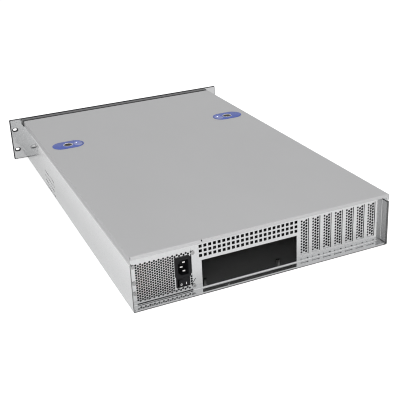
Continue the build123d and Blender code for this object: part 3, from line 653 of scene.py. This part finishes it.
def set_camera():
    """The photograph's camera: standing behind the case, to the side of its power supply."""
    camera = bpy.data.cameras.new("camera")
    camera.sensor_width = SENSOR_WIDTH
    camera.lens = CAMERA_LENS
    camera.shift_x = SHIFT_ACROSS
    camera.shift_y = -SHIFT_DOWN
    camera.clip_start = 0.01
    camera.clip_end = 100.0
    holder = bpy.data.objects.new("camera", camera)
    bpy.context.scene.collection.objects.link(holder)
    turn = (Matrix.Rotation(math.radians(CAMERA_AZIMUTH), 4, "Z")
            @ Matrix.Rotation(math.radians(90.0 - CAMERA_ELEVATION), 4, "X")
            @ Matrix.Rotation(math.radians(CAMERA_ROLL), 4, "Z"))
    holder.matrix_world = Matrix.Translation(CAMERA_PLACE) @ turn
    bpy.context.scene.camera = holder


def supply_screw_places():
    """Where the screws stand, in X and Z, down both sides of the power supply."""
    left = [(SUPPLY_SCREW_LEFT, z) for z in SUPPLY_SCREWS_LEFT]
    return left + [(SUPPLY_SCREW_RIGHT, z) for z in SUPPLY_SCREWS_RIGHT]


def mesh_places(low, high):
    """The round holes of the power supply's rear face, clear of what is fixed in it."""
    taken = [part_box("inlet_body"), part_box("switch_frame")]
    screws = supply_screw_places()
    reach = MESH_HOLE + MESH_KEEP_OFF
    places = []
    column = 0
    x = high.x - MESH_EDGE
    while x > low.x + MESH_EDGE:
        z = low.z + MESH_EDGE + (column % 2) * MESH_PITCH / 2
        while z < high.z - MESH_EDGE:
            clear = all(not (a.x - reach < x < b.x + reach and a.z - reach < z < b.z + reach)
                        for a, b in taken)
            if clear and all(math.dist((x, z), screw) > MESH_SCREW_MARGIN for screw in screws):
                places.append((x, z))
            z += MESH_PITCH
        x -= MESH_PITCH * math.sqrt(3) / 2
        column += 1
    return places


def make_supply_base():
    """Folded base of the power supply with its round-holed rear face."""
    low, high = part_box("psu_base")
    path = [(low.y, high.z), (low.y, low.z), (high.y, low.z), (high.y, high.z)]
    base = new_strip(path, low.x, high.x, SUPPLY_SHEET)
    face = (high.y - 2 * MM, high.y + MM)
    punch(base, mesh_places(low, high), MESH_HOLE, *face)
    punch(base, supply_screw_places(), SCREW_SHANK + SCREW_CLEARANCE, *face)
    for node, rim in (("inlet_body", INLET_RIM), ("switch_frame", SWITCH_RIM)):
        a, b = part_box(node)
        cut_away(base, new_block((a.x + rim[0], face[0], a.z + rim[1]),
                                 (b.x - rim[0], face[1], b.z - rim[1])))
    cut_away(base, new_block((low.x - MM, high.y - SUPPLY_SHEET, low.z - MM),
                             (high.x + MM, face[1], low.z + SUPPLY_FOOT)))
    for (x0, z0), (x1, z1) in SUPPLY_SLITS:
        cut_away(base, new_block((x0, face[0], z0), (x1, face[1], z1)))
    a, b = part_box("psu_fan_frame")
    window = (b.x - a.x) * SUPPLY_FAN_WINDOW
    punch(base, [((a.x + b.x) / 2, (a.z + b.z) / 2)], window, low.y - MM, low.y + 2 * MM, 48)
    finish_piece(base, "galvanised_steel", "case", "psu_base")


def make_rear_panel():
    """The rear tray, with its shelf lifted close under the lid as in the photograph."""
    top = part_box("rear_panel")[1].z
    panel = own_form("rear_panel", "rear_tray")
    move_points(panel, lambda place: place.z > top - SHELF_REACH, (0.0, 0.0, SHELF_RISE))
    # The tray's finish has painted shade on its side walls' inner faces
    finish_piece(panel, "galvanised_steel", "case", "rear_panel", finish=TRAY_ZINC_PAINTED_SHADE)


def make_lid():
    """The lid, with the shallow rear lip of the photograph."""
    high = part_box("lid")[1]

    def in_lip(place):
        return (place.y > high.y - LIP_SHEET and place.z < high.z - LIP_DEPTH
                and abs(place.x) < high.x - LIP_SIDE)

    lid = own_form("lid", "lid_sheet")
    move_points(lid, in_lip, (0.0, 0.0, LIP_RISE))
    finish_piece(lid, "lid_steel", "lid", "lid")


def stretch_rack_slots(piece, middle_x, share):
    """Widens or narrows the two screw slots at one end of a plate, each about its own middle."""
    for end in (-1, 1):
        middle = Vector((middle_x, 0.0, CASE_MIDDLE + end * RACK_SLOT_RISE / 2))
        hold(piece)
        bpy.ops.object.mode_set(mode="EDIT")
        pick_points(piece, lambda place: math.dist(place.xz, middle.xz) < RACK_SLOT_REACH)
        bpy.ops.transform.resize(value=(share, 1.0, share), center_override=middle)
        bpy.ops.object.mode_set(mode="OBJECT")


def make_ear(side_name, side):
    """A rack ear a little inside the dark panel's edge, with room round the panel's screw slots."""
    low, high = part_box("ear_" + side_name)
    ear = own_form("ear_" + side_name, "rack_ear_" + side_name)
    outer = max(abs(low.x), abs(high.x))
    move_points(ear, lambda place: abs(place.x) > outer - EAR_EDGE, (-side * EAR_INSET, 0.0, 0.0))
    move_points(ear, lambda place: place.z < low.z + EAR_EDGE, (0.0, 0.0, EAR_INSET))
    stretch_rack_slots(ear, side * (outer - RACK_SLOT_INSET), EAR_SLOT_STRETCH)
    finish_piece(ear, "galvanised_steel", "case", "ear_" + side_name)


def make_front_panel():
    """The dark panel over the front, with rack slots a little smaller than the ears'."""
    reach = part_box("ear_left")[1].x - RACK_SLOT_INSET
    panel = own_form("front_panel", "front_plate")
    for side in (-1, 1):
        stretch_rack_slots(panel, side * reach, PANEL_SLOT_STRETCH)
    finish_piece(panel, "dark_panel", "case", "front_panel")


def cover_hole_places(middle_x, column):
    """One of three staggered columns of holes, in X and Z."""
    middle_z = (WINDOW_LOW + WINDOW_HIGH) / 2
    rows = COVER_ROWS - (column == 0)
    x = middle_x + COVER_COLUMNS_ASIDE + column * COVER_COLUMN
    return [(x, middle_z + (row - (rows - 1) / 2) * COVER_PITCH) for row in range(rows)]


def make_slot_covers():
    """Folded covers behind the slot windows, each with three columns of round holes."""
    low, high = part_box("slot_cover_1")
    middle = (low.x + high.x) / 2
    top = high.z + SHELF_RISE
    path = [(high.y, top), (COVER_BACK, top), (COVER_BACK, low.z)]
    first = new_strip(path, low.x + COVER_SIDE_GAP, high.x, COVER_SHEET)
    for column, radius in zip((-1, 0, 1), COVER_HOLES):
        punch(first, cover_hole_places(middle, column), radius, COVER_BACK - MM, COVER_BACK + 2 * MM)
    reach = COVER_TONGUE / 2
    for start, end in ((low.x - MM, middle - reach), (middle + reach, high.x + MM)):
        cut_away(first, new_block((start, low.y - MM, low.z - MM), (end, high.y, COVER_SHOULDER)))
    screw_y = sum(corner.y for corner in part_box("slot_screws")) / 2
    seat = new_rod((middle, screw_y, top), SCREW_HOLE, 4 * MM)
    mouth = new_block((middle, screw_y - SCREW_HOLE, top - 2 * MM),
                      (high.x + MM, screw_y + SCREW_HOLE, top + MM))
    cut_away(first, seat, mouth)
    for number in range(1, SLOT_COUNT + 1):
        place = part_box(f"slot_cover_{number}")[0] - low
        cover = copy_of(first, f"cover_strip_{number}", place)
        finish_piece(cover, "cover_steel", "case", f"slot_cover_{number}")
    bpy.data.objects.remove(first)


def new_screw():
    """A pan-head screw standing on its seat at the origin, with a cross recess in its head."""
    head = new_rod((0.0, 0.0, (SCREW_COLLAR + SCREW_HEAD_RISE) / 2), SCREW_HEAD,
                   SCREW_HEAD_RISE - SCREW_COLLAR)
    ease_edges(head, SCREW_EDGE, 3)
    for across, along in ((CROSS_LONG, CROSS_SHORT), (CROSS_SHORT, CROSS_LONG)):
        cut_away(head, new_block((-across, -along, SCREW_HEAD_RISE - CROSS_DEPTH),
                                 (across, along, 2 * SCREW_HEAD_RISE)))
    collar = new_rod((0.0, 0.0, SCREW_COLLAR), COLLAR_RADIUS, 2 * SCREW_COLLAR, sides=24)
    shank = new_rod((0.0, 0.0, -SCREW_LENGTH / 2), SCREW_SHANK, SCREW_LENGTH, sides=16)
    screw = gather([head, collar, shank], "screw")
    smooth(screw)
    return screw


def make_screws():
    """The power supply's screws in the rear panel, and the slot covers' screws on the shelf."""
    screw = new_screw()
    low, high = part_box("slot_screws")
    seat = high.z - SCREW_HEAD_RISE + SHELF_RISE
    standing = []
    for number in range(1, SLOT_COUNT + 1):
        x = sum(corner.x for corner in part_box(f"slot_cover_{number}")) / 2
        standing.append(copy_of(screw, "slot_screw", (x, (low.y + high.y) / 2, seat)))
    finish_piece(gather(standing, "slot_screw_heads"), "bright_metal", "case", "slot_screws",
                 finish=SCREW_HEADS)
    screw.rotation_euler = (-math.pi / 2, 0.0, 0.0)
    settle(screw, "screw")
    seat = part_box("psu_screws")[1].y - SCREW_HEAD_RISE
    lying = [copy_of(screw, "supply_screw", (x, seat, z)) for x, z in supply_screw_places()]
    finish_piece(gather(lying, "supply_screw_heads"), "bright_metal", "case", "psu_screws",
                 finish=SCREW_HEADS)
    bpy.data.objects.remove(screw)


def set_on_wing(mark, along, slope):
    """Lays a mark on one sloping wing of the tipped rocker, a little way along it."""
    low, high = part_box("switch_frame")
    pivot = Vector(((low.x + high.x) / 2, high.y - ROCKER_PIVOT, (low.z + high.z) / 2))
    mark.rotation_euler = (0.0, 0.0, ROCKER_TIP + slope)
    wing = ROCKER_VALLEY + abs(along) * math.tan(ROCKER_SLOPE)
    across = Matrix.Rotation(ROCKER_TIP, 3, "Z") @ Vector((along, wing, 0.0))
    mark.location = pivot + across - Vector((0.0, 0.0, MARK_DROP))
    settle(mark, mark.name)
    finish_piece(mark, "dark_plastic", "switch_rocker", finish=SWITCH_MARK)


def make_switch_marks():
    """The usual bar and ring of a power switch, one on each wing of the rocker."""
    bar = new_block((-BAR_HALF_WIDTH, -MARK_DEPTH, -MARK_RADIUS),
                    (BAR_HALF_WIDTH, MARK_DEPTH / 4, MARK_RADIUS))
    bar.name = "switch_bar"
    set_on_wing(bar, -ROCKER_MARK, -ROCKER_SLOPE)
    ring = new_rod((0.0, 0.0, 0.0), MARK_RADIUS, MARK_DEPTH, "Y")
    cut_away(ring, new_rod((0.0, 0.0, 0.0), RING_HOLE, 4 * MARK_DEPTH, "Y"))
    ring.name = "switch_ring"
    set_on_wing(ring, ROCKER_MARK, ROCKER_SLOPE)


def make_ledge_rivets():
    """Two low rivet heads on the tray's lower flange."""
    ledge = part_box("rear_panel")[0].z + TRAY_SHEET
    heads = []
    for x in LEDGE_RIVETS:
        head = new_rod((x, LEDGE_RIVET_Y, ledge + RIVET_RISE), RIVET_HEAD, RIVET_THICKNESS, sides=24)
        ease_edges(head, RIVET_EDGE, 2)
        heads.append(head)
    rivets = gather(heads, "ledge_rivets")
    smooth(rivets)
    finish_piece(rivets, "bright_metal", "case", finish=SCREW_HEADS)


def new_pill(middle, length, width, low, high, sides=48):
    """A flat block with two round ends, lying along X."""
    reach = (length - width) / 2
    depth = high - low
    z = (low + high) / 2
    pill = new_rod((middle[0] - reach, middle[1], z), width / 2, depth, sides=sides)
    bpy.ops.object.mode_set(mode="EDIT")
    bpy.ops.mesh.primitive_cylinder_add(vertices=sides, radius=width / 2, depth=depth,
                                        location=(middle[0] + reach, middle[1], z))
    bpy.ops.mesh.select_all(action="SELECT")
    bpy.ops.mesh.convex_hull()
    bpy.ops.object.mode_set(mode="OBJECT")
    return pill


def new_ball(place, radii, name):
    """An egg-shaped cutter with its middle at a place."""
    bpy.ops.object.select_all(action="DESELECT")
    bpy.ops.mesh.primitive_uv_sphere_add(segments=48, ring_count=24, radius=1.0, location=place)
    ball = bpy.context.object
    ball.scale = radii
    return settle(ball, name)


def make_latch_body(side_name, side, radius):
    """Blue moulded housing with a round seat for the ring and a scooped finger recess."""
    low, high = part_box("latch_housing_" + side_name)
    middle = (low + high) / 2
    lid_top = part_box("lid")[1].z
    body = new_pill(middle, high.x - low.x, high.y - low.y, lid_top, high.z)
    ease_edges(body, LATCH_EDGE, 2)
    inset = 2 * LATCH_CUP_INSET
    cup = new_pill(middle, high.x - low.x - inset, high.y - low.y - inset, low.z, lid_top + CUP_OVERLAP)
    weld_on(body, cup)
    seat = new_rod((middle.x, middle.y, (low.z + LATCH_WALL + high.z + MM) / 2), radius + SEAT_CLEARANCE,
                   high.z + MM - low.z - LATCH_WALL, sides=48)
    hollow = Vector((middle.x - side * SCOOP_FROM_MIDDLE, middle.y, high.z))
    cut_away(body, seat, new_ball(hollow, SCOOP_SIZE, "scoop"))
    settle(body, "latch_body_" + side_name)
    smooth(body)
    finish_piece(body, "blue_plastic", "lid", "latch_housing_" + side_name)
    body.data.materials.append(SCOOP_POLISH)
    for face in body.data.polygons:
        away = face.center - hollow
        share = Vector([a / b for a, b in zip(away, SCOOP_SIZE)]).length
        if share < SCOOP_FACES and away.z < -SCOOP_RIM:
            face.material_index = 1


def make_latch_ring(side_name, middle, radius):
    """Bright ring round the latch's button."""
    low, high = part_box("latch_ring_" + side_name)
    ring = new_rod((middle.x, middle.y, (low.z + high.z) / 2), radius, high.z - low.z, sides=64)
    bore = new_rod((middle.x, middle.y, high.z), radius - RING_WIDTH, 10 * MM, sides=64)
    cut_away(ring, bore)
    ease_edges(ring, RING_EDGE, 3)
    settle(ring, "latch_bezel_" + side_name)
    smooth(ring)
    finish_piece(ring, "bright_metal", "lid", "latch_ring_" + side_name)


def make_latch_cap(side_name, middle, radius):
    """Dark dished cap of the latch's button."""
    low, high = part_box("latch_button_" + side_name)
    cap = new_rod((middle.x, middle.y, (low.z + high.z) / 2), radius, high.z - low.z, sides=64)
    dish = new_ball((middle.x, middle.y, high.z),
                    (radius * DISH_SHARE, radius * DISH_SHARE, DISH_DEPTH), "dish")
    cut_away(cap, dish)
    ease_edges(cap, CAP_EDGE, 2, 50.0)
    settle(cap, "latch_cap_" + side_name)
    smooth(cap)
    button = "latch_button_" + side_name
    finish_piece(cap, "dark_plastic", button, button, finish=LATCH_CAP)


def make_latch(side_name, side):
    """One latch of the lid: its housing, ring and button cap."""
    low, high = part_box("latch_housing_" + side_name)
    middle = (low + high) / 2
    ring_low, ring_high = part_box("latch_ring_" + side_name)
    radius = (ring_high.y - ring_low.y) / 2
    make_latch_body(side_name, side, radius)
    make_latch_ring(side_name, middle, radius)
    make_latch_cap(side_name, middle, radius - RING_WIDTH - CAP_CLEARANCE)


dress_frame()
make_rear_panel()
make_lid()
make_ear("left", 1)
make_ear("right", -1)
make_front_panel()
make_supply_base()
make_slot_covers()
make_screws()
make_switch_marks()
make_ledge_rivets()
make_latch("left", 1)
make_latch("right", -1)
lay_floor()
light_world()
light_studio()
set_camera()
bpy.context.scene.view_settings.view_transform = "Standard"
bpy.context.scene.cycles.filter_width = PIXEL_FILTER
